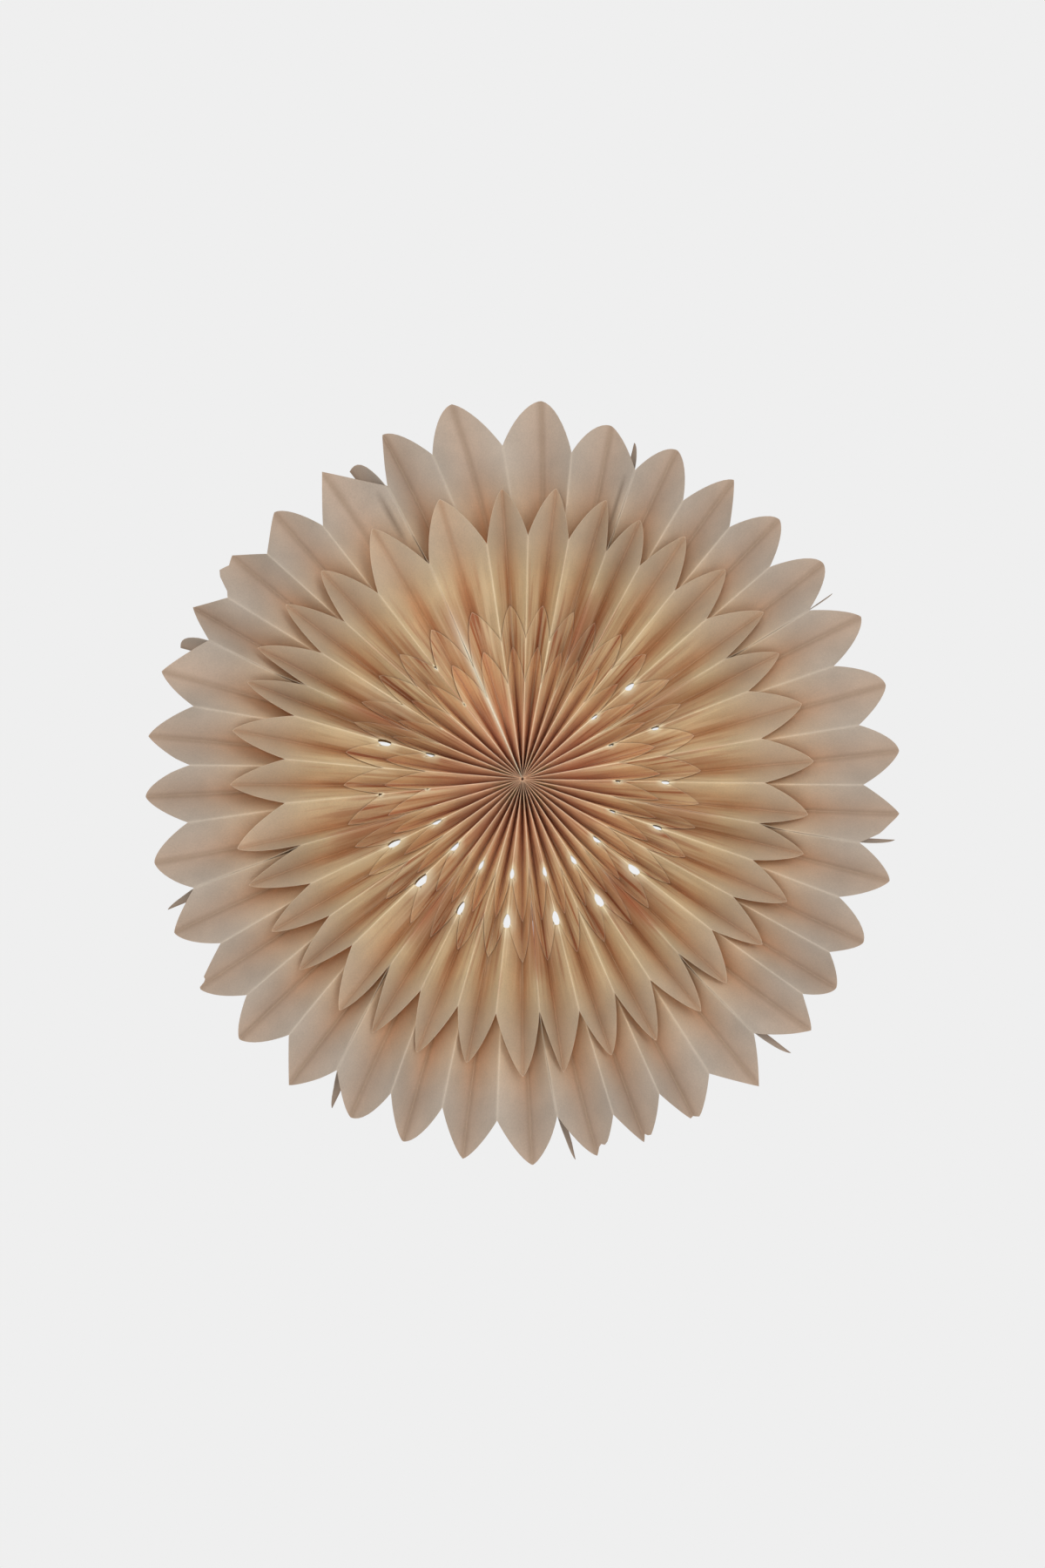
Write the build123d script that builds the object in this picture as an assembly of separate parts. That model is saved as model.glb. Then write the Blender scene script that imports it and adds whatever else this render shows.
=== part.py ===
from build123d import *
import math
import os

# Paper fan rosette, hung upright. Millimetres, +Z up, the front faces -Y.
# Nine folded fans stand side by side round the hub. Each fan is a stack of four paper sheets of
# different length, pleated together. Its two end panels are folded back and glued flat against
# the end panels of the fans beside it, so every joint is a flat fin behind the front pleats.
# The origin is the hub's axis in the plane of the wall that the fins touch.

# Driving dimensions
pleat_width = 28.0  # from one crease to the next, measured on the flat sheet
paper_thickness = 0.10
hub_radius = 5.0  # the creases are pressed together inside this
petals_per_fan = 4
layer_step = 4.0  # each shorter sheet springs this far in front of the one behind
glue_gap = 0.04  # clearance that stands for the glue film between two fans
layer_gap = 0.02  # between the layers of one end panel
hub_squeeze = 0.5  # share of the layer step that the pressed paper may fill at the hub

outer_tip = 250.0  # radius at the valley creases, where the petals end
outer_notch = 222.0  # radius at the ridge creases, where two petals part
middle_tip = 192.0
middle_notch = 158.0
inner_tip = 118.0
inner_notch = 91.0
heart_notch = 63.0
hub_station = 28.0  # radius where the pressed folds begin to open

leaf_fullness = 0.70  # how far the outer petals' sides bulge: 0.5 is straight, 0.7 round
ogive_fullness = 0.60
nick_length = 2.6  # half the length of the small nick through a ridge crease
nick_depth = 0.10  # share of the panel's width

spread_start = 60.0  # radius where the longest sheets' creases leave the others'
lift_start = 55.0  # radius where the shorter sheets begin to spring forward
lift_end = 185.0  # and where they stand fully forward
widest_share = 0.95  # a panel opens to no more than this share of its width

# Degrees clockwise from the top, seen from the front. The fans open unevenly.
joint_angles = (20.0, 59.1, 100.7, 138.2, 175.0, 213.8, 252.5, 293.8, 336.1)
full_turn_angle = 360.0
# Creases of each fan between its two joints, valley and ridge in turn: the three shorter sheets
inner_creases = (
    (23.9, 28.7, 33.1, 38.7, 43.2, 48.7, 54.3),
    (62.9, 68.6, 74.0, 80.3, 85.6, 91.0, 96.3),
    (104.2, 109.7, 114.3, 119.6, 124.2, 129.0, 134.7),
    (142.3, 147.9, 152.8, 157.0, 162.1, 166.4, 172.0),
    (179.9, 186.4, 191.2, 195.7, 201.2, 205.4, 210.8),
    (218.5, 225.3, 229.7, 234.2, 239.1, 243.3, 249.3),
    (256.8, 264.0, 269.6, 274.6, 280.3, 285.4, 290.3),
    (297.2, 302.2, 307.3, 311.6, 316.8, 322.3, 329.6),
    (343.7, 351.4, 356.0, 361.3, 366.5, 370.9, 376.4),
)
# and the longest sheet at its rim
outer_creases = (
    (24.5, 29.7, 34.4, 38.9, 43.7, 48.8, 53.3),
    (63.3, 69.6, 74.6, 80.2, 84.9, 90.2, 94.3),
    (104.7, 110.3, 114.9, 119.3, 123.0, 127.3, 130.6),
    (142.1, 147.6, 152.5, 156.5, 160.9, 164.7, 168.6),
    (178.5, 183.9, 188.9, 193.3, 198.2, 202.2, 207.1),
    (217.7, 222.0, 227.5, 231.7, 237.2, 241.3, 246.9),
    (257.6, 262.8, 268.0, 272.5, 277.6, 282.6, 287.6),
    (298.7, 302.8, 308.2, 312.4, 317.6, 322.3, 327.6),
    (338.9, 343.9, 349.9, 356.0, 362.4, 368.0, 373.6),
)
# How far the shorter sheets of each fan spring forward at their tips
lifts = (8.0, 7.0, 11.0, 11.0, 12.0, 12.0, 12.0, 10.0, 20.0)

# Derived
heart_tip = inner_notch  # the shortest sheet ends where the next one parts
panels = 2 * petals_per_fan
last_fold = panels + 2
taper_radius = 8.0 * hub_radius
least_depth = pleat_width * math.sqrt(1.0 - widest_share**2)
middle_plane = -(pleat_width - least_depth / 2)
pressed_limit = hub_squeeze * layer_step

stations = (
    hub_radius,
    hub_station,
    heart_notch,
    inner_notch,
    inner_tip,
    middle_notch,
    middle_tip,
    outer_notch,
    outer_tip,
)
sheet_tips = {"outer": outer_tip, "middle": middle_tip, "inner": inner_tip, "heart": heart_tip}
sheet_names = ("outer", "middle", "inner", "heart")  # from the back to the front


def fin_offset(layer, radius, front):
    """How far an end panel's face stands from the plane where two fans are glued."""
    layers_between = len(sheet_names) - 1 - layer
    stack = layers_between * (paper_thickness + layer_gap)
    if not front:
        stack = stack + paper_thickness
    return glue_gap / 2 + stack * min(1.0, radius / taper_radius)


def spring_forward(angle, radius):
    """How far a shorter sheet stands forward: each fan's lift, blended between fan centres."""
    share = min(1.0, max(0.0, (radius - lift_start) / (lift_end - lift_start)))
    grown = share * share * (3.0 - 2.0 * share)
    centres = [creases[petals_per_fan - 1] for creases in inner_creases]
    for i in range(len(centres)):
        start = centres[i - 1] - (full_turn_angle if i == 0 else 0.0)
        for turned in (angle, angle - full_turn_angle):
            if start <= turned <= centres[i]:
                t = (turned - start) / (centres[i] - start)
                return grown * (lifts[i - 1] + (lifts[i] - lifts[i - 1]) * t)
    return 0.0


def crease_angles(layer, number, radius):
    """The creases of a sheet from one joint to the next, squeezed to leave room for the fins."""
    left = joint_angles[number]
    right = (joint_angles + (joint_angles[0] + full_turn_angle,))[number + 1]
    share = 0.0
    if layer == 0:
        share = max(0.0, (radius - spread_start) / (outer_tip - spread_start))
    inner = math.degrees(math.asin(fin_offset(0, radius, False) / radius))
    squeeze = (right - left - 2 * inner) / (right - left)
    angles = [left + inner]
    for near, far in zip(inner_creases[number], outer_creases[number]):
        angles.append(left + inner + (near + (far - near) * share - left) * squeeze)
    angles.append(right - inner)
    return angles


def open_chord(layer, number, fold, radius):
    """The straight distance between creases, taken as the mean of the panels beside a fold."""
    angles = crease_angles(layer, number, radius)
    turns = [b - a for a, b in zip(angles[:-1], angles[1:])]
    beside = turns[max(0, fold - 2) : min(panels, fold)]
    turn = sum(beside) / len(beside)
    chord = 2 * radius * math.sin(math.radians(turn / 2))
    return min(chord, widest_share * pleat_width)


def mitre_height(layer, number, fold, radius):
    """How far the outer side of the fold at a fin stands in front of the inner side."""
    below = [r for r in stations if r < radius]
    nearest = below[-1] if len(below) > 1 else hub_station
    chord = open_chord(layer, number, fold, nearest)
    fin = fin_offset(layer, radius, False) - fin_offset(layer, radius, True)
    return fin * math.sqrt(pleat_width**2 - chord**2) / chord


def fold_point(layer, number, fold, radius, front):
    """A point on a crease. Fold 0 and the last fold are the free edges of the two fins."""
    crease = min(max(fold, 1), last_fold - 1)
    chord = open_chord(layer, number, crease, radius)
    depth = math.sqrt(pleat_width**2 - chord**2)
    thick = min(paper_thickness * pleat_width / chord, pressed_limit)
    angles = crease_angles(layer, number, radius)
    angle = angles[crease - 1]
    ridge = middle_plane - depth / 2 - layer * layer_step
    if layer > 0:
        ridge = ridge - spring_forward(angle, radius)
    valley = ridge + depth
    inner = math.degrees(math.asin(fin_offset(0, radius, False) / radius))
    face = math.degrees(math.asin(fin_offset(layer, radius, front) / radius))
    if fold <= 1:
        angle = angle - inner + face
    elif fold >= last_fold - 1:
        angle = angle + inner - face
    if fold == 0 or fold == last_fold:
        y = ridge + pleat_width
    elif front and fold in (1, last_fold - 1):
        y = ridge - thick - mitre_height(layer, number, fold, radius)
    elif fold % 2 == 1:
        y = ridge - (thick if front else 0.0)
    else:
        y = valley - (thick if front else 0.0)
    turn = math.radians(angle)
    return Vector(radius * math.sin(turn), y, radius * math.cos(turn))


def panel_polygons(tip, nicked):
    """Flat facets of one panel as (station, radius, share) corners, share 0 at the valley crease.

    Between two stations the panel is two flat triangles that meet on the line from the valley
    crease at the lower radius to the ridge crease at the upper one, or the other way at the hub,
    where that keeps the panels beside a fin clear of it.
    """
    facets = []
    rim = []
    used = [r for r in stations if r <= tip]
    for i in range(len(used) - 1):
        low, high = used[i], used[i + 1]
        ends = i == len(used) - 2
        first = [(i, low, 0.0), (i, high, 0.0)]
        second = [(i, low, 0.0)]
        if ends:
            cut = leaf_fullness if tip == outer_tip else ogive_fullness
            corner = (i, low + (high - low) * cut, cut)
            outline = [first[1], corner, (i, low, 1.0)]
            first = first + [corner]
            second = second + [corner, (i, low, 1.0)]
            rim.extend(zip(outline[:-1], outline[1:]))
        elif nicked and high == inner_notch:
            start = (i, high - nick_length, 1.0)
            bottom = (i, high, 1.0 - nick_depth)
            t = (high - low - nick_length) / (high - low)
            run = 1.0 - t
            share = (t * nick_depth + (1.0 - nick_depth) * run) / (nick_depth + run)
            cross = (i, low + (high - low) * share, share)
            first = first + [bottom, cross]
            second = second + [cross, start, (i, low, 1.0)]
            rim.append((bottom, cross))
            rim.append((cross, start))
        elif nicked and low == inner_notch:
            finish = (i, low + nick_length, 1.0)
            bottom = (i, low, 1.0 - nick_depth)
            first = first + [(i, high, 1.0)]
            second = second + [(i, high, 1.0), finish, bottom]
            rim.append((finish, bottom))
        elif i == 0:
            first = first + [(i, low, 1.0)]
            second = [(i, high, 0.0), (i, high, 1.0), (i, low, 1.0)]
        else:
            first = first + [(i, high, 1.0)]
            second = second + [(i, high, 1.0), (i, low, 1.0)]
        facets.append(first)
        facets.append(second)
    rim.append(((0, used[0], 1.0), (0, used[0], 0.0)))
    return facets, rim


def panel_point(corner, layer, number, folds, front):
    """Places a corner of the flat panel on the two flat triangles of its strip."""
    index, radius, share = corner
    low, high = stations[index], stations[index + 1]
    valley_fold, ridge_fold = folds
    base = fold_point(layer, number, valley_fold, low, front)
    far = fold_point(layer, number, ridge_fold, high, front)
    t = (radius - low) / (high - low)
    if t >= share:
        side = fold_point(layer, number, valley_fold, high, front)
        return base + (side - base) * (t - share) + (far - base) * share
    side = fold_point(layer, number, ridge_fold, low, front)
    return base + (side - base) * (share - t) + (far - base) * t


def facet(points):
    """A flat face, or a fan of triangles where the points do not lie in one plane."""
    kept = []
    for p in points:
        if not kept or (p - kept[-1]).length > 1e-6:
            kept.append(p)
    if (kept[0] - kept[-1]).length <= 1e-6:
        kept.pop()
    if len(kept) < 3:
        return []
    if len(kept) == 4:
        a, b, c, d = kept
        normal = (b - a).cross(c - a)
        if abs((d - a).dot(normal)) > 1e-6 * normal.length:
            return facet([a, b, c]) + facet([a, c, d])
    return [Face(Wire.make_polygon(kept, close=True))]


def folded_sheet(layer, number):
    """One pleated sheet with its two fins, as a closed solid of paper thickness."""
    tip = sheet_tips[sheet_names[layer]]
    faces = []
    for panel in range(last_fold):
        if panel % 2 == 0:
            folds = (panel, panel + 1)
        else:
            folds = (panel + 1, panel)
        nicked = tip > inner_tip and folds[1] in (3, last_fold - 3)
        facets, rim = panel_polygons(tip, nicked)
        if panel in (0, last_fold - 1):
            used = [r for r in stations if r <= tip]
            for i in range(len(used) - 1):
                rim.append(((i, used[i], 0.0), (i, used[i + 1], 0.0)))
        for corners in facets:
            for front in (False, True):
                points = [panel_point(c, layer, number, folds, front) for c in corners]
                faces = faces + facet(points)
        for start, end in rim:
            quad = [
                panel_point(start, layer, number, folds, False),
                panel_point(end, layer, number, folds, False),
                panel_point(end, layer, number, folds, True),
                panel_point(start, layer, number, folds, True),
            ]
            faces = faces + facet(quad)
    return Solid(Shell(faces))


os.makedirs("parts", exist_ok=True)
for number in range(len(joint_angles)):
    for layer, name in enumerate(sheet_names):
        sheet = folded_sheet(layer, number)
        export_step(sheet, f"parts/{name}_sheet_{number + 1}.step")
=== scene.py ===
import math
import bpy
import numpy as np
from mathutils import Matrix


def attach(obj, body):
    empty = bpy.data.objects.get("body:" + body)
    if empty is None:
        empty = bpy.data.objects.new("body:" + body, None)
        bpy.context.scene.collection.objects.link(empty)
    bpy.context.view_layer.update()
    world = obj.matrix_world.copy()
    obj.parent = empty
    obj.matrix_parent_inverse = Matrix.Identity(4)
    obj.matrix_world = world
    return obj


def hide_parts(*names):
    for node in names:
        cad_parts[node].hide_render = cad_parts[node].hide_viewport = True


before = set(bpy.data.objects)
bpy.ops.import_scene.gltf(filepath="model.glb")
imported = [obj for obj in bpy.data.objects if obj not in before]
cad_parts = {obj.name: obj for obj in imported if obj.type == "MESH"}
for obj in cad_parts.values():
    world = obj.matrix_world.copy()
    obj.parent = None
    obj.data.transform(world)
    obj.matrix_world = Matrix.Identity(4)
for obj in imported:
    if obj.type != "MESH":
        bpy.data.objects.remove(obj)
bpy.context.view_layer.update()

print("frame loaded:", len(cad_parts), "folded sheets")

# the pleats, in metres
pleats = {
    "width": 0.028,        # crease to crease on the flat paper
    "widest": 0.95,        # a panel opens to no more than this share of its width
    "middleY": -0.0236,    # plane half way between valleys and ridges
    "creaseSoft": 0.03,    # rounding of a crease, share of a panel
    "bow": 0.04,           # how far a panel bellies, share of its depth
    "bowTo": 0.2,          # radius from which it bellies in full
    "wander": 0.0010,      # slow waviness of the paper
    "rim": 0.25,           # usual radius of the tips, which the fins' lean and the waviness are measured by
    "columns": 12,         # grid columns in each panel
    "bendFrom": 0.152,     # radius where a joint begins to turn to its outer angle
    "bendLength": 0.070,
    "spreadFrom": 0.06,    # radius where the outer creases begin to leave the inner ones
    "spreadLength": 0.19,
    "liftFrom": 0.055,     # radius where the shorter sheets begin to spring forward
    "liftTo": 0.185,
}

# the end panels, folded back and glued to those of the next fan
joints = {
    "glue": 0.00006,       # half the gap in a glued joint
    "hubShare": 0.035,     # near the hub the gap is no more than this share of the radius
    "step": 0.00011,       # each longer sheet's fin stands this much further from the joint
    "closeFrom": 1.03,     # past a shorter sheet's tip, by this share of its radius, the longer fins close up
    "closeLength": 0.012,
    "leanDepth": 0.036,    # distance from the wall over which a fin's lean dies out
    "leanPower": 1.2,
}

# phases and lengths of the slow waves, so that no two panels belly alike
waves = {"panel": 2.1, "fan": 1.7, "around": 5.0, "outward": 22.0, "start": 1.0}

# each ring of petals: its layer in the stack, size of its nicks, how far it stands forward of the outer sheet, radii
# of its hub, tips and notches, how far its petals part at the joints, grid rows, and how full a petal's sides are
rings = {
    "outer": {
        "layer": 0, "nicked": 1.06, "forward": 0.0, "hub": 0.0050, "tip": 0.2500, "notch": 0.2230,
        "rows": 72, "full": 1.3,
    },
    "middle": {
        "layer": 1, "nicked": 0.92, "forward": 0.0040, "hub": 0.0045, "tip": 0.1930, "notch": 0.1560,
        "rows": 60, "full": 1.3,
    },
    "inner": {
        "layer": 2, "nicked": 0.82, "forward": 0.0062, "hub": 0.0040, "tip": 0.1180, "notch": 0.0915,
        "part": 0.88, "rows": 44, "full": 1.3,
    },
    "heart": {
        "layer": 3, "nicked": 0.72, "forward": 0.0085, "hub": 0.0010, "tip": 0.0910, "notch": 0.0630,
        "part": 0.92, "rows": 40, "full": 1.3,
    },
}

# each fan, clockwise from the top. Angles are in degrees and lengths in millimetres.
# joint: where its first joint stands at the outer and at the middle ring
# lean, fin, finFull: how that joint's fins lean, how far they reach and how full they are
# lift: how far the shorter sheets spring forward, and nick: how large the fan's two nicks are
# outer, middle: its seven creases, valley and ridge in turn, at the rim and at the middle ring
# reach, cut, full: each outer petal's reach, each notch's radius, the joint's first, and how full each petal's two
# sides are, 1 for straight and 2 for round
# middleReach, middleCut: the same for the middle ring
fans = [
    {"joint": (19.7, 20.2), "lean": -2.1, "fin": 247, "lift": 8, "nick": (0.0, 0.8),
     "outer": (24.5, 29.7, 34.4, 38.9, 43.7, 48.8, 53.3),
     "middle": (23.9, 28.7, 33.1, 38.7, 43.2, 48.7, 54.3),
     "reach": (250.1, 251.2, 249.1, 251.0), "cut": (222.5, 216.7, 219.2, 218.1),
     "full": ((1.85, 1.4), (1.4, 1.1), (1.55, 1.4), (1.8, 1.7)),
     "middleReach": (193.1, 198.3, 197.5, 197.5), "middleCut": (159.3, 160.8, 160.5, 161.2)},
    {"joint": (58.9, 59.2), "lean": -1.4, "fin": 246, "lift": 7, "nick": (0.6, 0.6),
     "outer": (63.3, 69.6, 74.4, 80.4, 84.7, 90.5, 94.3),
     "middle": (62.9, 68.6, 74.0, 80.3, 85.6, 91.0, 96.3),
     "reach": (252.8, 251.0, 251.2, 250.4), "cut": (221.7, 219.8, 225.1, 224.2),
     "full": ((1.4, 1.5), (1.7, 1.4), (1.7, 1.3), (1.15, 1.2)),
     "middleReach": (191.4, 192.5, 193.1, 189.5), "middleCut": (155.0, 159.2, 158.8, 158.5)},
    {"joint": (100.4, 100.9), "lean": -2.6, "fin": 250, "lift": 11, "nick": (0.7, 1.0),
     "outer": (104.7, 110.3, 114.9, 119.3, 123.0, 127.3, 130.6),
     "middle": (104.2, 109.7, 114.3, 119.6, 124.2, 129.0, 134.7),
     "reach": (250.8, 247.9, 246.5, 249.7), "cut": (225.1, 221.0, 230.1, 230.2),
     "full": ((1.5, 1.3), (1.55, 1.55), (1.4, 1.55), (1.4, 1.0)),
     "middleReach": (191.0, 190.8, 190.3, 188.0), "middleCut": (156.6, 159.3, 157.6, 158.2)},
    {"joint": (137.7, 138.7), "lean": -2.8, "fin": 250, "lift": 11, "nick": (1.0, 1.0),
     "outer": (142.1, 147.6, 152.9, 156.5, 161.1, 164.7, 168.6),
     "middle": (142.3, 147.9, 152.8, 157.0, 162.1, 166.4, 172.0),
     "reach": (252.4, 250.4, 249.8, 249.4), "cut": (224.1, 227.1, 223.4, 226.3),
     "full": ((1.0, 1.0), (1.2, 1.0), (1.3, 1.15), (1.7, 1.3)),
     "middleReach": (190.8, 191.1, 188.7, 192.6), "middleCut": (152.6, 156.0, 152.7, 156.7)},
    {"joint": (174.1, 175.9), "lean": -2.1, "fin": 249, "lift": 12, "nick": (1.0, 1.0),
     "outer": (178.5, 183.9, 189.0, 193.3, 198.4, 202.2, 207.1),
     "middle": (179.9, 186.4, 191.2, 195.7, 201.2, 205.4, 210.8),
     "reach": (250.5, 249.4, 247.7, 246.6), "cut": (220.7, 223.0, 220.1, 221.7),
     "full": ((1.4, 1.4), (1.3, 1.25), (1.65, 1.4), (1.85, 1.3)),
     "middleReach": (193.7, 188.0, 190.8, 192.1), "middleCut": (152.7, 154.9, 154.8, 153.6)},
    {"joint": (212.6, 215.0), "lean": -1.9, "fin": 247, "lift": 12, "nick": (1.1, 1.0),
     "outer": (217.7, 222.0, 227.9, 231.7, 237.8, 241.3, 246.9),
     "middle": (218.5, 225.3, 229.7, 234.2, 239.1, 243.3, 249.3),
     "reach": (250.6, 250.8, 252.0, 249.7), "cut": (224.9, 225.8, 228.5, 224.4),
     "full": ((1.2, 1.0), (1.4, 1.4), (1.5, 1.0), (1.4, 1.2)),
     "middleReach": (192.2, 191.3, 191.7, 192.3), "middleCut": (148.9, 155.5, 154.3, 154.2)},
    {"joint": (252.0, 253.0), "lean": -1.0, "fin": 249, "lift": 12, "nick": (0.3, 1.0),
     "outer": (258.0, 262.8, 268.3, 272.5, 277.6, 282.6, 287.6),
     "middle": (256.8, 264.0, 269.6, 274.6, 280.3, 285.4, 290.3),
     "reach": (248.7, 250.0, 250.8, 251.8), "cut": (226.7, 221.7, 221.4, 222.9),
     "full": ((1.55, 1.5), (1.35, 1.6), (1.15, 1.3), (1.2, 1.2)),
     "middleReach": (192.7, 192.7, 194.8, 194.4), "middleCut": (150.3, 156.1, 155.8, 155.0)},
    {"joint": (294.4, 293.3), "lean": -2.4, "fin": 248, "finFull": 2.8, "lift": 10, "nick": (0.2, 0.3),
     "outer": (298.7, 302.2, 308.7, 312.0, 318.0, 322.3, 327.6),
     "middle": (297.2, 302.2, 307.3, 311.6, 316.8, 322.3, 329.6),
     "reach": (251.3, 248.9, 248.6, 250.7), "cut": (228.2, 231.0, 228.1, 216.9),
     "full": ((1.1, 1.0), (1.2, 1.0), (1.15, 1.4), (1.0, 1.0)),
     "middleReach": (197.8, 197.8, 195.3, 197.1), "middleCut": (154.2, 155.7, 156.2, 155.5)},
    {"joint": (335.6, 336.7), "lean": -4.4, "fin": 245, "finFull": 2.4, "lift": 20, "nick": (0.0, 0.2),
     "outer": (338.6, 343.9, 349.9, 356.0, 363.0, 368.0, 373.8),
     "middle": (343.7, 351.4, 356.0, 361.3, 366.5, 370.9, 376.4),
     "reach": (256.3, 262.3, 260.6, 250.7), "cut": (218.5, 228.5, 227.5, 223.9),
     "full": ((1.15, 1.55), (1.7, 1.4), (1.55, 2.0), (1.65, 1.3)),
     "middleReach": (196.3, 196.7, 197.9, 197.6), "middleCut": (154.9, 156.5, 160.1, 160.6)},
]

# small faults of the cut edge: fan, place across the sheet, half width across, and height in millimetres, minus for a
# bite
edgeFaults = [
    (3, 4.00, 0.16, -5.0), (3, 5.93, 0.14, -5.5), (3, 7.80, 0.22, -6.0), (5, 6.10, 0.14, -4.0),
    (7, 3.45, 0.30, 8.0), (1, 8.62, 0.30, 2.0), (6, 5.0, 0.25, -2.0),
]


def between(number, key, part=None):
    # one value of this fan and the same value of the next one
    here, there = fans[number][key], fans[(number + 1) % 9][key]
    return (here, there) if part is None else (here[part], there[part])


def jointAngle(number, R):
    # a joint stands at its middle angle out to the middle notches, and turns straight from there to its outer one
    outer, middle = fans[number]["joint"]
    return middle + (outer - middle) * np.clip((R - pleats["bendFrom"]) / pleats["bendLength"], 0.0, 1.2)


def creaseAngles(number, ring, R):
    # the nine creases between a sheet's joints at radius R, in degrees. The shorter sheets keep the middle ring's
    # angles. The longest leaves them in a straight line and has its own angles at its tips
    fan = fans[number]
    first = jointAngle(number, R)
    last = jointAngle((number + 1) % 9, R) + (360.0 if number == 8 else 0.0)
    share = np.clip((R - pleats["spreadFrom"]) / pleats["spreadLength"], 0.0, 1.06) if ring == "outer" else 0.0 * R
    creases = [near + (far - near) * share for near, far in zip(fan["middle"], fan["outer"])]
    return np.stack([first, *creases, last])


def creaseDepths(number, ring, R):
    # how deep the pleat is at each crease: the root of panel width squared less chord squared, the chord being the
    # mean of the panels beside the crease. At a joint the next fan's first panel counts too, so both sheets meet
    before, here, after = [np.diff(creaseAngles((number + step) % 9, ring, R), axis=0) for step in (-1, 0, 1)]
    turns = np.concatenate([before[-1:], here, after[:1]])
    beside = (turns[1:] + turns[:-1]) / 2.0
    chord = np.minimum(2.0 * R * np.sin(np.radians(beside) / 2.0), pleats["widest"] * pleats["width"])
    return np.sqrt(pleats["width"] ** 2 - chord ** 2)


def readAcross(U, values):
    # values are given on the nine creases u = 1 to 9 and read straight between them; the fins keep their joint's value
    low = np.clip(np.floor(U).astype(int) - 1, 0, 7)
    share = np.clip(U - 1.0 - low, 0.0, 1.0)
    before = np.take_along_axis(values, low[None], axis=0)[0]
    after = np.take_along_axis(values, low[None] + 1, axis=0)[0]
    return before * (1.0 - share) + after * share


def creaseWave(u, soft):
    # a zigzag, 0 on the ridge creases (odd u) and 1 on the valley creases (even u), its corners rounded by the square
    # root of the distance squared plus soft squared
    toRidge = np.abs((u % 2.0) - 1.0)
    low = np.sqrt(toRidge ** 2 + soft ** 2) - soft
    high = 1.0 - (np.sqrt((1.0 - toRidge) ** 2 + soft ** 2) - soft)
    return low * (1.0 - toRidge) + high * toRidge


# the middle ring's usual reach and cut in millimetres, and how far the short sheets follow each petal's difference
middleUsual = {"reach": 192.0, "cut": 155.0, "follow": 0.5}


def cutRadius(u, number, ring):
    # the cut edge: notch radius plus the petal's height times (1 - s^full), s being 0 on a petal's crease and 1 on the
    # ridges beside it
    shape = rings[ring]
    fan = fans[number]
    if ring == "outer":
        fins = between(number, "fin")
        reach, cut = [fins[0], *fan["reach"], fins[1]], [*fan["cut"], between(number, "cut", 0)[1]]
    else:
        usual = middleUsual["reach"]
        reach, cut = [usual, *fan["middleReach"], usual], [*fan["middleCut"], between(number, "middleCut", 0)[1]]
    if "part" in shape:
        # the two short sheets follow the middle one's petals, and part further at the joints
        tip, notch, follow = shape["tip"] * 1000.0, shape["notch"] * 1000.0, middleUsual["follow"]
        reach = [tip * (1.0 - follow + follow * r / usual) for r in reach]
        cut = [notch * (1.0 - follow + follow * c / middleUsual["cut"]) for c in cut]
        cut[0], cut[4] = cut[0] * shape["part"], cut[4] * shape["part"]
    tip = np.interp(u, [0, 2, 4, 6, 8, 10], reach) / 1000.0
    notch = np.interp(u, [1, 3, 5, 7, 9], cut) / 1000.0
    sides = [shape["full"]] * 10
    if ring == "outer":
        sides[1:9] = [side for petal in fan["full"] for side in petal]
        sides[0], sides[9] = [fans[(number + step) % 9].get("finFull", shape["full"]) for step in (0, 1)]
    full = np.array(sides)[np.clip(np.floor(u).astype(int), 0, 9)]
    leaf = 1.0 - (1.0 - np.abs((u % 2.0) - 1.0)) ** full
    edge = notch + (tip - notch) * leaf
    if ring == "outer":
        for place, centre, half, height in edgeFaults:
            if place == number:
                edge = edge + height / 1000.0 * np.clip(1.0 - np.abs(u - centre) / half, 0.0, 1.0)
    return edge


def springForward(R, angle):
    # how far a shorter sheet stands forward: each fan's own lift, blended around the circle, grown along the radius by
    # a smooth step
    centres = np.array([fan["middle"][3] % 360.0 for fan in fans])
    lifts = np.array([fan["lift"] for fan in fans]) / 1000.0
    lift = np.interp(angle % 360.0, centres, lifts, period=360.0)
    step = np.clip((R - pleats["liftFrom"]) / (pleats["liftTo"] - pleats["liftFrom"]), 0.0, 1.0)
    return lift * step * step * (3.0 - 2.0 * step)


nicks = {
    # radius, half length and half width (share of a panel) of each row, and the rings that it goes through
    "rows": ((0.0935, 0.0052, 0.34, ("outer", "middle", "inner")), (0.0625, 0.0042, 0.40, tuple(rings))),
    "creases": (3.0, 7.0),  # the ridges that were nicked through the folded stack
    "crowding": 7.0,        # how much closer the grid rows stand beside a nick
    "crowdLength": 1.2,     # and over what length, in half nicks
    "faraway": 9.0,         # distance given where no nick is near
}


def rowPlaces(ring):
    # grid rows from 0 at the hub to 1 at the cut edge, crowded beside the nicks: equal steps of a running total of
    # 1 plus a bell for each nick
    shape = rings[ring]
    fine = np.linspace(0.0, 1.0, 600)
    R = shape["hub"] + (shape["notch"] - shape["hub"]) * fine
    bells = [
        np.exp(-(((R - radius) / (nicks["crowdLength"] * half)) ** 2))
        for radius, half, width, where in nicks["rows"] if ring in where
    ]
    total = np.cumsum(1.0 + nicks["crowding"] * sum(bells))
    return np.interp(np.linspace(total[0], total[-1], shape["rows"] + 1), total, fine)


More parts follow.
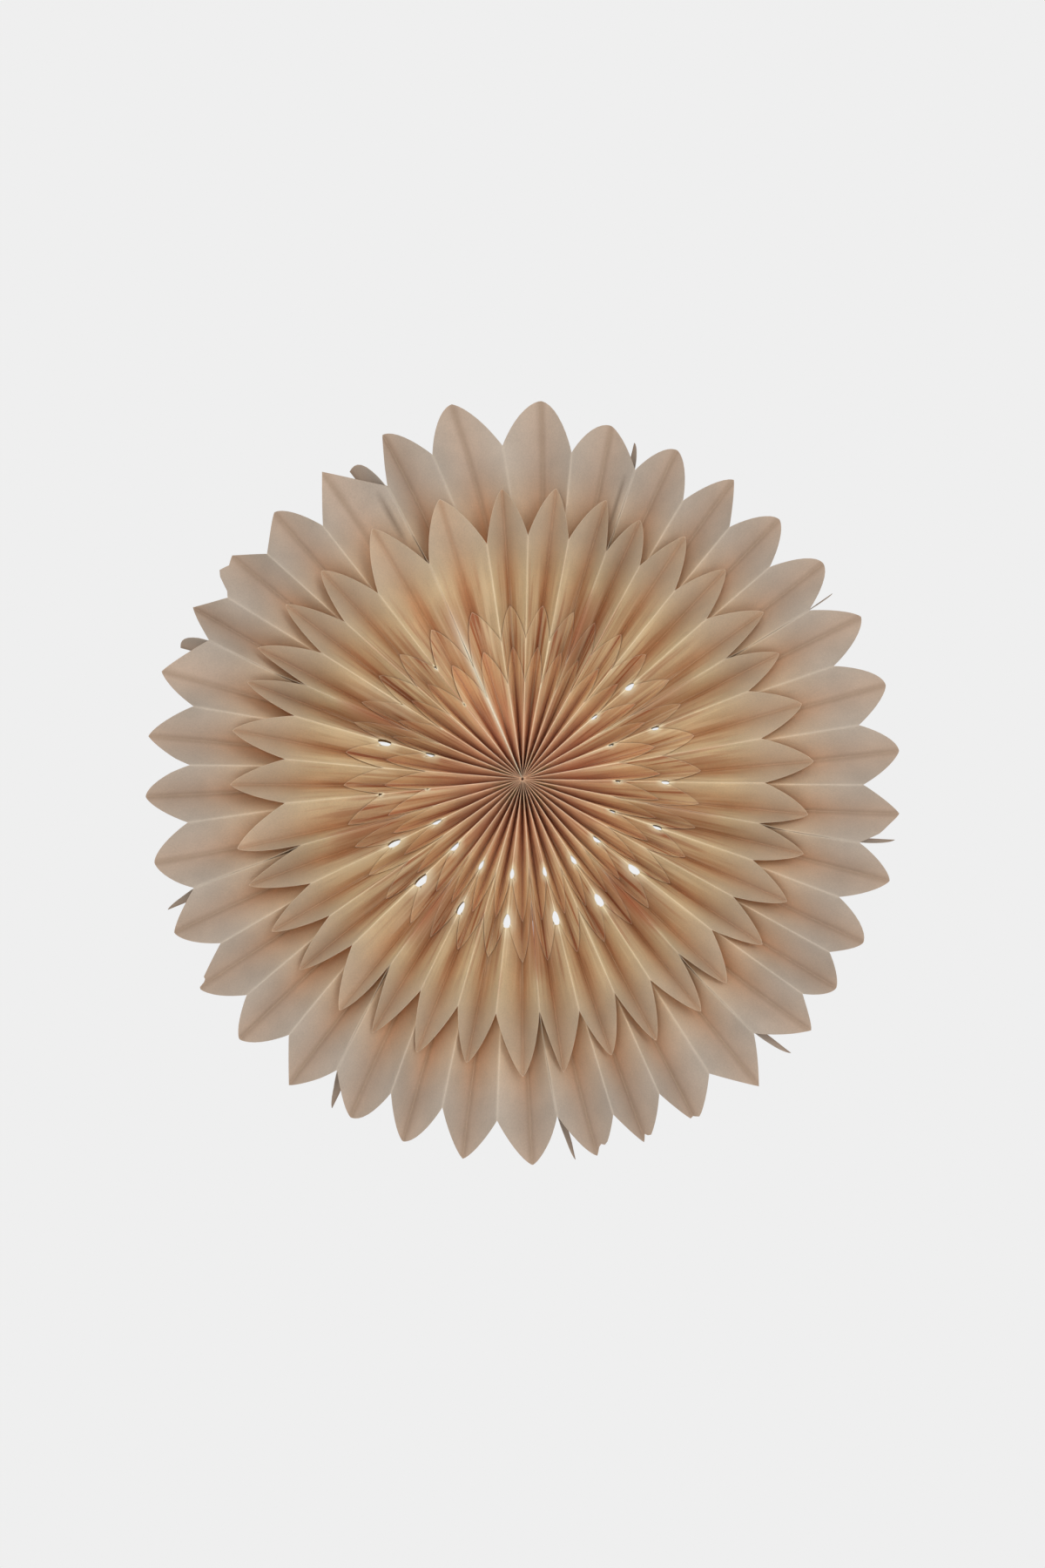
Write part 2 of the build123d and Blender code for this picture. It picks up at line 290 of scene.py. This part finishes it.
def nickDistance(number, ring, U, R):
    # each point's distance from the middle of the nearest nick, over the nick's own size, so that it is 1 on its edge:
    # the root of (across / half width) squared plus (along / half length) squared. Given back with that middle
    nearest, middleU, middleR = np.full(U.shape, nicks["faraway"]), 0.0 * U, 0.0 * R
    for radius, half, width, where in nicks["rows"]:
        for crease, size in zip(nicks["creases"], fans[number]["nick"]):
            if ring in where and size > 0.0:
                size = size * rings[ring]["nicked"]
                distance = np.hypot((U - crease) / (width * size), (R - radius) / (half * size))
                closer = distance < nearest
                nearest = np.where(closer, distance, nearest)
                middleU, middleR = np.where(closer, crease, middleU), np.where(closer, radius, middleR)
    return nearest, middleU, middleR


jointShade = {
    "from": 0.074, "to": 0.134, "power": 0.7,  # radii between which the painted shade grows and fades
    "reach": 1.0,                              # panels
    "rings": ("middle", "inner"),
    "share": (0.9, 0.5, 0.5, 1.0, 0.8, 0.9, 0.6, 0.9, 0.5),  # strength at each fan's first joint
}


def jointGapShade(number, ring, U, R):
    # painted shade, red-brown, beside each joint, in the deep gap between the short petals of two fans: 1 at the joint,
    # falling to 0 across the first panel, and along the radius half a sine to that power
    if ring not in jointShade["rings"]:
        return 0.0 * U
    here = np.where(U < 5.0, jointShade["share"][number], jointShade["share"][(number + 1) % 9])
    beside = np.clip(1.0 - np.minimum(np.abs(U - 1.0), np.abs(U - 9.0)) / jointShade["reach"], 0.0, 1.0)
    hump = np.clip((R - jointShade["from"]) / (jointShade["to"] - jointShade["from"]), 0.0, 1.0)
    return here * beside * np.sin(np.pi * hump) ** jointShade["power"]


# the joint where the ring of fans was closed: its ridge is pale near the hub, and further out a dark line runs
# beside it to the rounded leaf
seam = {
    "fan": 8, "paleWidth": 0.0095, "paleTo": 0.125, "paleFade": 0.030,
    "dark": 8.78, "darkWidth": 0.0010, "darkFrom": 0.178, "darkTo": 0.219, "darkPower": 0.6,
}


def seamMarks(number, ring, U, R):
    # the pale mark falls from 1 on the joint's ridge to 0 at its width, and the dark one is a bell across the panel
    # that grows and fades along the radius by half a sine to its power
    joint = {seam["fan"]: 1.0, (seam["fan"] - 1) % 9: 9.0}.get(number)
    if joint is None:
        return 0.0 * U, 0.0 * U
    pale = np.clip(1.0 - np.abs(U - joint) * pleats["width"] / seam["paleWidth"], 0.0, 1.0)
    pale = pale * np.clip((seam["paleTo"] - R) / seam["paleFade"], 0.0, 1.0)
    along = np.clip((R - seam["darkFrom"]) / (seam["darkTo"] - seam["darkFrom"]), 0.0, 1.0)
    bell = np.exp(-(((U - seam["dark"]) * pleats["width"] / seam["darkWidth"]) ** 2))
    return pale, bell * np.sin(np.pi * along) ** seam["darkPower"] if ring == "outer" else 0.0 * U


def sheetSurface(number, ring):
    # the folded sheet as a grid: u runs across the ten panels, v from the hub to the cut edge. A point stands at
    # radius R, turned by its crease's angle, half the pleat's depth behind the middle plane on a valley crease and
    # half of it in front on a ridge crease, with a softened zigzag between
    shape = rings[ring]
    layer = shape["layer"]
    t = 0.5 - 0.5 * np.cos(np.linspace(0.0, np.pi, pleats["columns"] + 1))
    u = np.concatenate([p + t[:-1] for p in range(10)] + [[10.0]])
    U, V = np.meshgrid(u, rowPlaces(ring), indexing="ij")
    edge = cutRadius(U, number, ring)
    R = shape["hub"] + (edge - shape["hub"]) * V
    nearest, middleU, middleR = nickDistance(number, ring, U, R)
    holed = nearest < 1.0
    whole = ~(holed[:-1, :-1] & holed[:-1, 1:] & holed[1:, 1:] & holed[1:, :-1])
    pull = np.where(holed, 1.0 / np.maximum(nearest, 0.1), 1.0)  # points inside a nick move out to its edge
    U, R = middleU + (U - middleU) * pull, middleR + (R - middleR) * pull
    creases = creaseAngles(number, ring, R)
    angle = readAcross(U, creases)
    depth = readAcross(U, creaseDepths(number, ring, R))
    middleY = pleats["middleY"] - shape["forward"]
    if layer > 0:
        middleY = middleY - springForward(R, angle)
    wave = creaseWave(U, pleats["creaseSoft"])
    bow = pleats["bow"] * np.sin(np.pi * (U % 1.0))
    bow = bow * np.sin(waves["panel"] * np.floor(U) + waves["fan"] * number + layer)
    Y = middleY + depth * (wave - 0.5 + bow * np.clip(R / pleats["bowTo"], 0.0, 1.0))
    fin = np.where(U < 1.0, 1.0 - U, np.where(U > 9.0, U - 9.0, 0.0))
    Y = np.where(fin > 0.0, middleY - depth / 2.0 + pleats["width"] * fin, Y)
    shorter = [other["tip"] for other in rings.values() if other["layer"] > layer]
    steps = sum([1.0 - np.clip((R - tip * joints["closeFrom"]) / joints["closeLength"], 0.0, 1.0) for tip in shorter])
    gap = np.minimum(joints["glue"] + joints["step"] * steps, joints["hubShare"] * R)
    inward = np.interp(U, [0.0, 1.0, 2.0, 8.0, 9.0, 10.0], [1.0, 1.0, 0.0, 0.0, -1.0, -1.0])
    angle = angle + np.degrees(np.arcsin(gap / R)) * inward
    lean = np.where(U < 5.0, *between(number, "lean"))
    behind = np.clip(Y / joints["leanDepth"] + 1.0, 0.0, 1.0) ** joints["leanPower"]
    outward = R / pleats["rim"]
    angle = angle + np.where(fin > 0.0, lean * behind * outward ** 2, 0.0)
    turn = np.radians(angle)
    swell = np.sin(turn * waves["around"] + waves["start"]) * np.sin(R * waves["outward"] + waves["start"])
    Y = Y + pleats["wander"] * outward * swell
    place = np.stack([R * np.sin(turn), Y, R * np.cos(turn)], axis=-1)
    seamPale, seamDark = seamMarks(number, ring, U, R)
    marks = {
        "across": U + 10.0 * number, "along": R, "fromEdge": np.maximum(edge - R, 0.0),
        "nick": np.maximum(nearest, 1.0), "gap": jointGapShade(number, ring, U, R),
        "seamPale": seamPale, "seamDark": seamDark,
    }
    return place, marks, whole


def gridMesh(name, place, marks, whole):
    # one mesh from a grid of points and the quads that are whole, wound so that they face the viewer's side
    across, along = place.shape[:2]
    index = np.arange(across * along).reshape(across, along)
    quads = np.stack([index[:-1, :-1], index[:-1, 1:], index[1:, 1:], index[1:, :-1]], axis=-1)[whole]
    used, corners = np.unique(quads, return_inverse=True)
    mesh = bpy.data.meshes.new(name)
    mesh.vertices.add(len(used))
    mesh.vertices.foreach_set("co", place.reshape(-1, 3)[used].reshape(-1))
    mesh.loops.add(quads.size)
    mesh.loops.foreach_set("vertex_index", corners.reshape(-1))
    mesh.polygons.add(len(quads))
    mesh.polygons.foreach_set("loop_start", np.arange(0, quads.size, 4))
    mesh.polygons.foreach_set("use_smooth", np.ones(len(quads), dtype=bool))
    mesh.update(calc_edges=True)
    edges = np.empty(quads.size, dtype=np.int32)
    mesh.loops.foreach_get("edge_index", edges)
    sharp = mesh.attributes.new("sharp_edge", "BOOLEAN", "EDGE")
    sharp.data.foreach_set("value", np.bincount(edges, minlength=len(mesh.edges)) == 1)  # the cut edge stays crisp
    for markName, values in marks.items():
        mark = mesh.attributes.new(markName, "FLOAT", "POINT")
        mark.data.foreach_set("value", values.reshape(-1)[used].astype(np.float32))
    mesh.validate()
    return mesh


def makeGroup(name, inputs, outputs):
    # an empty node group with named number sockets, the inputs with their values
    group = bpy.data.node_groups.new(name, "ShaderNodeTree")
    for socketName, value in inputs.items():
        socket = group.interface.new_socket(name=socketName, in_out="INPUT", socket_type="NodeSocketFloat")
        socket.default_value = value
    for socketName in outputs:
        group.interface.new_socket(name=socketName, in_out="OUTPUT", socket_type="NodeSocketFloat")
    return group, group.nodes.new("NodeGroupInput"), group.nodes.new("NodeGroupOutput")


def feed(tree, socket, value):
    # a number or colour set on a socket, or another socket linked to it
    if isinstance(value, (int, float, tuple)):
        socket.default_value = value
    else:
        tree.links.new(value, socket)


def addMath(tree, operation, a, b):
    node = tree.nodes.new("ShaderNodeMath")
    node.operation = operation
    feed(tree, node.inputs[0], a)
    feed(tree, node.inputs[1], b)
    return node.outputs[0]


def addRange(tree, value, fromMin, fromMax, toMin, toMax, smooth=True):
    # a number mapped from one range to another, held at the ends
    node = tree.nodes.new("ShaderNodeMapRange")
    node.interpolation_type = "SMOOTHSTEP" if smooth else "LINEAR"
    names = ("Value", "From Min", "From Max", "To Min", "To Max")
    for socketName, given in zip(names, (value, fromMin, fromMax, toMin, toMax)):
        feed(tree, node.inputs[socketName], given)
    return node.outputs["Result"]


def addMix(tree, factor, a, b, share=1.0):
    # colour a, with colour b over it by the factor times the share
    node = tree.nodes.new("ShaderNodeMix")
    node.data_type = "RGBA"
    feed(tree, node.inputs[0], addMath(tree, "MULTIPLY", factor, share))
    feed(tree, node.inputs[6], a)
    feed(tree, node.inputs[7], b)
    return node.outputs[2]


def readMark(tree, name):
    node = tree.nodes.new("ShaderNodeAttribute")
    node.attribute_name = name
    return node.outputs["Fac"]


def addNoise(tree, place, scale, detail):
    noise = tree.nodes.new("ShaderNodeTexNoise")
    tree.links.new(place, noise.inputs["Vector"])
    feed(tree, noise.inputs["Scale"], scale)
    noise.inputs["Detail"].default_value = detail
    return noise.outputs["Fac"]


fibreLook = {"fine": 900.0, "fineDetail": 3.0, "fineShare": 0.45, "cloud": 42.0, "cloudDetail": 4.0, "cloudShare": 0.55}


def buildFibre():
    # paper fibre: a fine and a cloudy noise, put out as a tone around 0.5 and a height
    look = fibreLook
    group, given, out = makeGroup("paperFibre", {"Fine": look["fine"], "Cloud": look["cloud"]}, ("Tone", "Height"))
    place = group.nodes.new("ShaderNodeTexCoord").outputs["Object"]
    fine = addNoise(group, place, given.outputs["Fine"], look["fineDetail"])
    cloud = addNoise(group, place, given.outputs["Cloud"], look["cloudDetail"])
    fineTone = addMath(group, "MULTIPLY", fine, look["fineShare"])
    cloudTone = addMath(group, "MULTIPLY", cloud, look["cloudShare"])
    group.links.new(addMath(group, "ADD", fineTone, cloudTone), out.inputs["Tone"])
    group.links.new(fine, out.inputs["Height"])
    return group


def buildCrease():
    # masks for painted light and shade at the folds, from the sheet's own marks: a thin painted highlight line on the
    # ridge creases, a painted shade line in the valleys, and the depth of a point in its pleat from 0 on a ridge to 1
    # in a valley, which the painted shade of the valleys follows
    widths = {"Ridge Width": 0.0020, "Valley Width": 0.0030}
    group, given, out = makeGroup("creaseLightAndShade", widths, ("Ridge", "Valley", "Depth"))
    toRidge = addMath(group, "PINGPONG", addMath(group, "ADD", readMark(group, "across"), 1.0), 1.0)
    toValley = addMath(group, "SUBTRACT", 1.0, toRidge)
    for crease, far in (("Ridge", toRidge), ("Valley", toValley)):
        share = addMath(group, "DIVIDE", given.outputs[crease + " Width"], pleats["width"])
        group.links.new(addRange(group, far, 0.0, share, 1.0, 0.0), out.inputs[crease])
    group.links.new(toRidge, out.inputs["Depth"])
    return group


streaks = {
    "across": 4.2, "along": 13.0, "detail": 2.0,       # noise per panel and per metre
    "start": (0.028, 0.055), "end": (0.112, 0.162),    # radii where they come in and fade out
    "Dark": {
        "range": (0.54, 0.66), "tint": (182, 90, 44),
        "share": {"outer": 0.1, "middle": 0.38, "inner": 0.72, "heart": 0.50},
    },
    "Pale": {
        "range": (0.48, 0.35), "tint": (255, 238, 202),
        "share": {"outer": 0.1, "middle": 0.50, "inner": 0.85, "heart": 0.65},
    },
}


def buildStreaks():
    # long soft darker and paler stripes along the pleats, between the hub and the tips of the middle ring: noise that
    # is stretched along the radius
    scales = {"Across": streaks["across"], "Along": streaks["along"]}
    group, given, out = makeGroup("radialStreaks", scales, ("Dark", "Pale"))
    along = readMark(group, "along")
    place = group.nodes.new("ShaderNodeCombineXYZ")
    for axis, far, scale in (("X", readMark(group, "across"), "Across"), ("Y", along, "Along")):
        group.links.new(addMath(group, "MULTIPLY", far, given.outputs[scale]), place.inputs[axis])
    noise = addNoise(group, place.outputs[0], 1.0, streaks["detail"])
    start, end = addRange(group, along, *streaks["start"], 0.0, 1.0), addRange(group, along, *streaks["end"], 1.0, 0.0)
    fade = addMath(group, "MULTIPLY", start, end)
    for kind in ("Dark", "Pale"):
        found = addRange(group, noise, *streaks[kind]["range"], 0.0, 1.0)
        group.links.new(addMath(group, "MULTIPLY", found, fade), out.inputs[kind])
    return group


def buildRimHighlight():
    # the cut edge: a thin painted highlight line where the paper ends
    group, given, out = makeGroup("cutEdgeHighlight", {"Line Width": 0.0008}, ("Edge",))
    edge = addRange(group, readMark(group, "fromEdge"), 0.0, given.outputs["Line Width"], 1.0, 0.0)
    group.links.new(edge, out.inputs["Edge"])
    return group


def buildNick():
    # the paper beside the small nicks in the folded ridges, where light gets through
    group, given, out = makeGroup("nickGlow", {"Reach": 2.9}, ("Near",))
    group.links.new(addRange(group, readMark(group, "nick"), 1.0, given.outputs["Reach"], 1.0, 0.0), out.inputs["Near"])
    return group


def colour(red, green, blue):
    # a colour as seen on screen, 0 to 255, turned into the linear value that a shader takes
    shares = [c / 255.0 for c in (red, green, blue)]
    return tuple(c / 12.92 if c <= 0.0393 else ((c + 0.055) / 1.055) ** 2.4 for c in shares) + (1.0,)


# each ring's paper. Screen colours at its tips and at its base, with the radii between which one turns to the other,
# and through: the share of light that it lets through. The rings are one paper, so the shorter rings' colours and the
# base colours are painted light: warm, and on most rings lighter, as light that comes through the stacked plies, the
# outer base also lighter to lift the shade that the middle ring casts on it. Then the colour and strength of the
# painted shade in its valleys, of the painted highlight on the ridge lines, of the painted highlight along the cut
# edge and of the painted shade lines in the valley creases, and how close to the crease a valley's painted shade keeps
papers = {
    "outer": {
        "tip": (198, 185, 171), "base": (236, 206, 168), "from": 0.150, "to": 0.222, "through": 0.30,
        "valley": (224, 158, 100), "valleyShare": 0.70, "valleyDeep": 1.4, "ridge": (222, 208, 190), "ridgeShare": 0.20,
        "rim": (206, 190, 172), "rimShare": 0.25, "crease": (152, 128, 106), "creaseShare": 0.42, "creaseWidth": 0.0050,
    },
    "middle": {
        "tip": (210, 190, 165), "base": (233, 209, 168), "from": 0.125, "to": 0.172, "through": 0.30,
        "valley": (212, 146, 92), "valleyShare": 0.75, "valleyDeep": 2.2, "ridge": (226, 206, 180), "ridgeShare": 0.25,
        "rim": (236, 220, 196), "rimShare": 0.50, "crease": (158, 112, 78), "creaseShare": 0.35, "creaseWidth": 0.0040,
    },
    "inner": {
        "tip": (236, 210, 170), "base": (232, 198, 152), "from": 0.055, "to": 0.112, "through": 0.25,
        "valley": (222, 146, 94), "valleyShare": 0.75, "valleyDeep": 1.8, "ridge": (248, 226, 190), "ridgeShare": 0.35,
        "rim": (255, 238, 208), "rimShare": 0.60, "crease": (160, 84, 52), "creaseShare": 0.45, "creaseWidth": 0.0026,
    },
    "heart": {
        "tip": (236, 206, 164), "base": (252, 216, 184), "from": 0.015, "to": 0.080, "through": 0.10,
        "valley": (240, 156, 114), "valleyShare": 0.80, "valleyDeep": 1.6, "ridge": (248, 222, 192), "ridgeShare": 0.30,
        "rim": (255, 236, 206), "rimShare": 0.50, "crease": (160, 74, 52), "creaseShare": 0.50, "creaseWidth": 0.0026,
    },
}


# marks that are the same on every sheet: the painted shade beside the joints, the closing joint's pale and dark lines,
# and the painted light at the nicks
shadeSeamAndGlow = {
    "gap": (198, 106, 60), "gapShadeShare": 0.85,
    "seamPale": (255, 246, 224), "seamDark": (104, 74, 54),
    "nick": (255, 242, 210),
}
sheetFinish = {
    "thickness": 0.00010,
    "valleyShadeFade": 0.75,        # how far the valleys' painted shade fades towards the tips
    "cloud": (0.3, 0.7),       # this range of the noise
    "bright": (0.87, 1.11),    # becomes this range of brightness
    "roughness": 0.82,
    "specular": 0.25,
    "bump": 0.12,
    "bumpDepth": 0.0003,
}


def buildPaper(ring, marks):
    # thin kraft paper, with painted light and shade: warm towards the hub as light through the stacked plies, painted
    # shade in the valleys and their creases, and painted highlights on the ridges and along the fine cut edge
    look = papers[ring]
    material = bpy.data.materials.new(ring + "Paper")
    material.use_nodes = True
    tree = material.node_tree
    shader = tree.nodes["Principled BSDF"]
    found = {}
    for key, group in marks.items():
        node = tree.nodes.new("ShaderNodeGroup")
        node.node_tree = group
        if key == "crease":
            node.inputs["Valley Width"].default_value = look["creaseWidth"]
        found.update({output.name: output for output in node.outputs})
    # painted light: towards the hub the tone turns to the base colour, warm as light through the stacked plies
    outward = addRange(tree, readMark(tree, "along"), look["from"], look["to"], 0.0, 1.0)
    tone = addMix(tree, outward, colour(*look["base"]), colour(*look["tip"]))
    # painted shade: the valley colour laid over the pleat's depth, fainter towards the tips
    deep = addMath(tree, "POWER", found["Depth"], look["valleyDeep"])
    fade = addMath(tree, "SUBTRACT", 1.0, addMath(tree, "MULTIPLY", outward, sheetFinish["valleyShadeFade"]))
    tone = addMix(tree, addMath(tree, "MULTIPLY", deep, fade), tone, colour(*look["valley"]), look["valleyShare"])
    cloudy = addRange(tree, found["Tone"], *sheetFinish["cloud"], *sheetFinish["bright"], smooth=False)
    bright = tree.nodes.new("ShaderNodeHueSaturation")
    tree.links.new(tone, bright.inputs["Color"])
    tree.links.new(cloudy, bright.inputs["Value"])
    tone = bright.outputs["Color"]
    layers = (
        (found["Dark"], streaks["Dark"]["tint"], streaks["Dark"]["share"][ring]),
        (found["Pale"], streaks["Pale"]["tint"], streaks["Pale"]["share"][ring]),
        # painted highlight on the ridge creases
        (found["Ridge"], look["ridge"], look["ridgeShare"]),
        # painted shade line in the valley creases
        (found["Valley"], look["crease"], look["creaseShare"]),
        # painted shade in the gaps beside the joints
        (readMark(tree, "gap"), shadeSeamAndGlow["gap"], shadeSeamAndGlow["gapShadeShare"]),
        # painted highlight along the cut edge
        (found["Edge"], look["rim"], look["rimShare"]),
        (readMark(tree, "seamPale"), shadeSeamAndGlow["seamPale"], 1.0),
        (readMark(tree, "seamDark"), shadeSeamAndGlow["seamDark"], 1.0),
        (found["Near"], shadeSeamAndGlow["nick"], 1.0),
    )
    for mask, tint, share in layers:
        tone = addMix(tree, mask, tone, colour(*tint), share)
    tree.links.new(tone, shader.inputs["Base Color"])
    shader.inputs["Roughness"].default_value = sheetFinish["roughness"]
    shader.inputs["Specular IOR Level"].default_value = sheetFinish["specular"]
    bump = tree.nodes.new("ShaderNodeBump")
    bump.inputs["Strength"].default_value = sheetFinish["bump"]
    bump.inputs["Distance"].default_value = sheetFinish["bumpDepth"]
    tree.links.new(found["Height"], bump.inputs["Height"])
    tree.links.new(bump.outputs["Normal"], shader.inputs["Normal"])
    through = tree.nodes.new("ShaderNodeBsdfTranslucent")  # thin paper lets light through
    tree.links.new(tone, through.inputs["Color"])
    tree.links.new(bump.outputs["Normal"], through.inputs["Normal"])
    thin = tree.nodes.new("ShaderNodeMixShader")
    thin.inputs[0].default_value = look["through"]
    tree.links.new(shader.outputs[0], thin.inputs[1])
    tree.links.new(through.outputs[0], thin.inputs[2])
    tree.links.new(thin.outputs[0], tree.nodes["Material Output"].inputs[0])
    return material


def makeSheet(number, ring, material):
    name = f"{ring}Pleats_{number + 1}"
    mesh = gridMesh(name, *sheetSurface(number, ring))
    piece = bpy.data.objects.new(name, mesh)
    bpy.context.collection.objects.link(piece)
    mesh.materials.append(material)
    solid = piece.modifiers.new("paperThickness", "SOLIDIFY")
    solid.thickness = sheetFinish["thickness"]
    solid.offset = 0.0
    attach(piece, "root")
    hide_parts(f"{ring}_sheet_{number + 1}")


paperMarks = {
    "fibre": buildFibre(), "crease": buildCrease(), "streak": buildStreaks(), "rim": buildRimHighlight(), "nick": buildNick(),
}
print("paper marks ready:", ", ".join(paperMarks))
for ring in rings:
    material = buildPaper(ring, paperMarks)
    for number in range(9):
        makeSheet(number, ring, material)
    print(ring, "ring: sheets folded")

# room, light and camera
room = {
    "paleGrey": 239,
    "worldTint": (1.0, 0.985, 0.965, 1.0),
    "worldStrength": 0.62,
    "floorZ": -1.30,
    "floorHalf": 8.0,
    "floorRoughness": 0.9,
    "lampSize": 1.2,
}
lamps = {
    "keyLamp": {"power": 14.0, "place": (1.1, -2.3, 0.45)},
    "fillLamp": {"power": 27.0, "place": (-0.25, -2.75, -0.25)},
    "backLamp": {"power": 12.0, "place": (0.7, 2.3, 0.9)},
}
camera = {
    "distance": 2.4, "elevation": -8.0, "aim": (0.0, -0.022, 0.0), "near": 0.05,
    "millimetresPerPixel": 0.576, "frameHeight": 1800, "sensor": 24.0,
}
pale = colour(room["paleGrey"], room["paleGrey"], room["paleGrey"])

world = bpy.data.worlds.new("paleRoom")
world.use_nodes = True
bpy.context.scene.world = world
worldTree = world.node_tree
background = worldTree.nodes["Background"]
background.inputs["Color"].default_value = room["worldTint"]
background.inputs["Strength"].default_value = room["worldStrength"]
plain = worldTree.nodes.new("ShaderNodeBackground")
plain.inputs["Color"].default_value = pale
seen = worldTree.nodes.new("ShaderNodeLightPath")
choose = worldTree.nodes.new("ShaderNodeMixShader")
direct = addMath(worldTree, "MAXIMUM", seen.outputs["Is Camera Ray"], seen.outputs["Is Glossy Ray"])
worldTree.links.new(direct, choose.inputs[0])
worldTree.links.new(background.outputs[0], choose.inputs[1])
worldTree.links.new(plain.outputs[0], choose.inputs[2])
worldTree.links.new(choose.outputs[0], worldTree.nodes["World Output"].inputs[0])

for name, lamp in lamps.items():
    # a square soft lamp aimed at the rosette
    data = bpy.data.lights.new(name, "AREA")
    data.size = room["lampSize"]
    data.energy = lamp["power"]
    piece = bpy.data.objects.new(name, data)
    piece.location = lamp["place"]
    direction = -np.array(lamp["place"])
    flat = math.hypot(direction[0], direction[1])
    turn = math.atan2(direction[1], direction[0]) - math.pi / 2
    piece.rotation_euler = (math.atan2(flat, -direction[2]), 0.0, turn)
    bpy.context.collection.objects.link(piece)

floorMesh = bpy.data.meshes.new("floor")
half = room["floorHalf"]
corners = [(x * half, y * half, room["floorZ"]) for x, y in ((-1, -1), (1, -1), (1, 1), (-1, 1))]
floorMesh.from_pydata(corners, [], [(0, 1, 2, 3)])
floor = bpy.data.objects.new("floor", floorMesh)
bpy.context.collection.objects.link(floor)
floorPaint = bpy.data.materials.new("floorPaint")
floorPaint.use_nodes = True
floorTree = floorPaint.node_tree
floorShader = floorTree.nodes["Principled BSDF"]
floorShader.inputs["Base Color"].default_value = pale
floorShader.inputs["Roughness"].default_value = room["floorRoughness"]
glow = floorTree.nodes.new("ShaderNodeEmission")
glow.inputs["Color"].default_value = pale
floorSeen = floorTree.nodes.new("ShaderNodeLightPath")
floorMix = floorTree.nodes.new("ShaderNodeMixShader")
floorTree.links.new(floorSeen.outputs["Is Camera Ray"], floorMix.inputs[0])
floorTree.links.new(floorShader.outputs[0], floorMix.inputs[1])
floorTree.links.new(glow.outputs[0], floorMix.inputs[2])
floorTree.links.new(floorMix.outputs[0], floorTree.nodes["Material Output"].inputs[0])
floorMesh.materials.append(floorPaint)

lens = bpy.data.cameras.new("viewer")
lens.sensor_fit = "VERTICAL"
lens.sensor_height = camera["sensor"]
frameMetres = camera["millimetresPerPixel"] / 1000.0 * camera["frameHeight"]
lens.lens = camera["sensor"] * camera["distance"] / frameMetres
lens.clip_start = camera["near"]
viewer = bpy.data.objects.new("viewer", lens)
rise = math.radians(camera["elevation"])
aim, away = camera["aim"], camera["distance"]
viewer.location = (aim[0], aim[1] - away * math.cos(rise), aim[2] + away * math.sin(rise))
viewer.rotation_euler = (math.pi / 2 - rise, 0.0, 0.0)
bpy.context.collection.objects.link(viewer)
bpy.context.scene.camera = viewer
bpy.context.scene.view_settings.view_transform = "Standard"
print("room, lamps and camera set")
